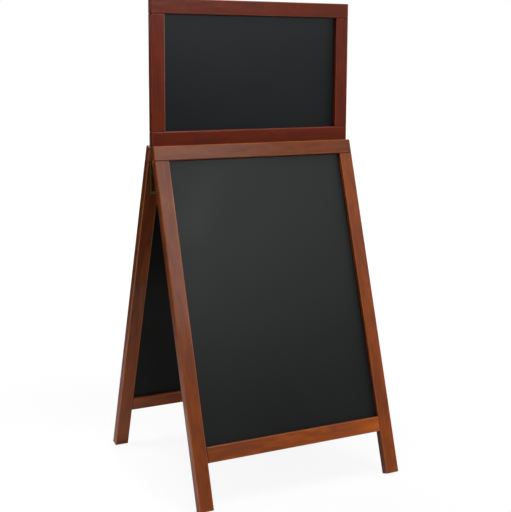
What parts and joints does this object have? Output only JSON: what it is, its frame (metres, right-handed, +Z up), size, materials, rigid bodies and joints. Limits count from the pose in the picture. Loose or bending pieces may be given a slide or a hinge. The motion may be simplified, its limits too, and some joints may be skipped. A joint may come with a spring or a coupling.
{
  "type": "folding pavement chalkboard",
  "caption": "Folding A-frame pavement chalkboard in stained timber, with a framed header chalkboard on hinge straps between the two frames.",
  "frame": {"origin": "on the floor at the middle of the open board's footprint", "axes": "+X across the boards to the viewer's right, -Y out of the front board, +Z up"},
  "size_m": [0.55, 0.5376, 1.1609],
  "materials": {
    "frame_timber": "mahogany stain under satin varnish, edges rounded",
    "header_timber": "darker red-brown stain under satin varnish",
    "chalkboard": "hardboard with matte charcoal chalkboard paint",
    "dowel_wood": "plain beech, hidden in the joints",
    "brass": "dull brass, slightly tarnished"
  },
  "bodies": {
    "front_frame": {"front_top_rail": "frame_timber", "front_bottom_rail": "frame_timber", "front_left_stile": "frame_timber", "front_right_stile": "frame_timber", "front_chalkboard": "chalkboard", "front_dowels": "dowel_wood", "left_front_leaf": "brass", "right_front_leaf": "brass", "left_hinge_pin": "brass", "right_hinge_pin": "brass", "front_leaf_screws": "brass"},
    "rear_frame": {"rear_top_rail": "frame_timber", "rear_bottom_rail": "frame_timber", "rear_left_stile": "frame_timber", "rear_right_stile": "frame_timber", "rear_chalkboard": "chalkboard", "rear_dowels": "dowel_wood", "left_rear_leaf": "brass", "right_rear_leaf": "brass", "rear_leaf_screws": "brass"},
    "header": {"header_top_rail": "header_timber", "header_bottom_rail": "header_timber", "header_left_stile": "header_timber", "header_right_stile": "header_timber", "header_chalkboard": "chalkboard", "header_dowels": "dowel_wood", "left_header_strap": "brass", "right_header_strap": "brass", "header_strap_screws": "brass", "strap_end_rivets": "brass"}
  },
  "joints": [
    {"name": "fold", "type": "hinge", "parent": "front_frame", "child": "rear_frame", "pos_m": [0, 0, 0.80724], "axis": [-1, 0, 0], "range_deg": [0, 34]},
    {"name": "header_swing", "type": "hinge", "parent": "front_frame", "child": "header", "pos_m": [0, 0, 0.80724], "axis": [-1, 0, 0], "range_deg": [0, 17]}
  ],
  "couplings": [
    {"joint": "header_swing", "follows": "fold", "ratio": 0.5}
  ]
}
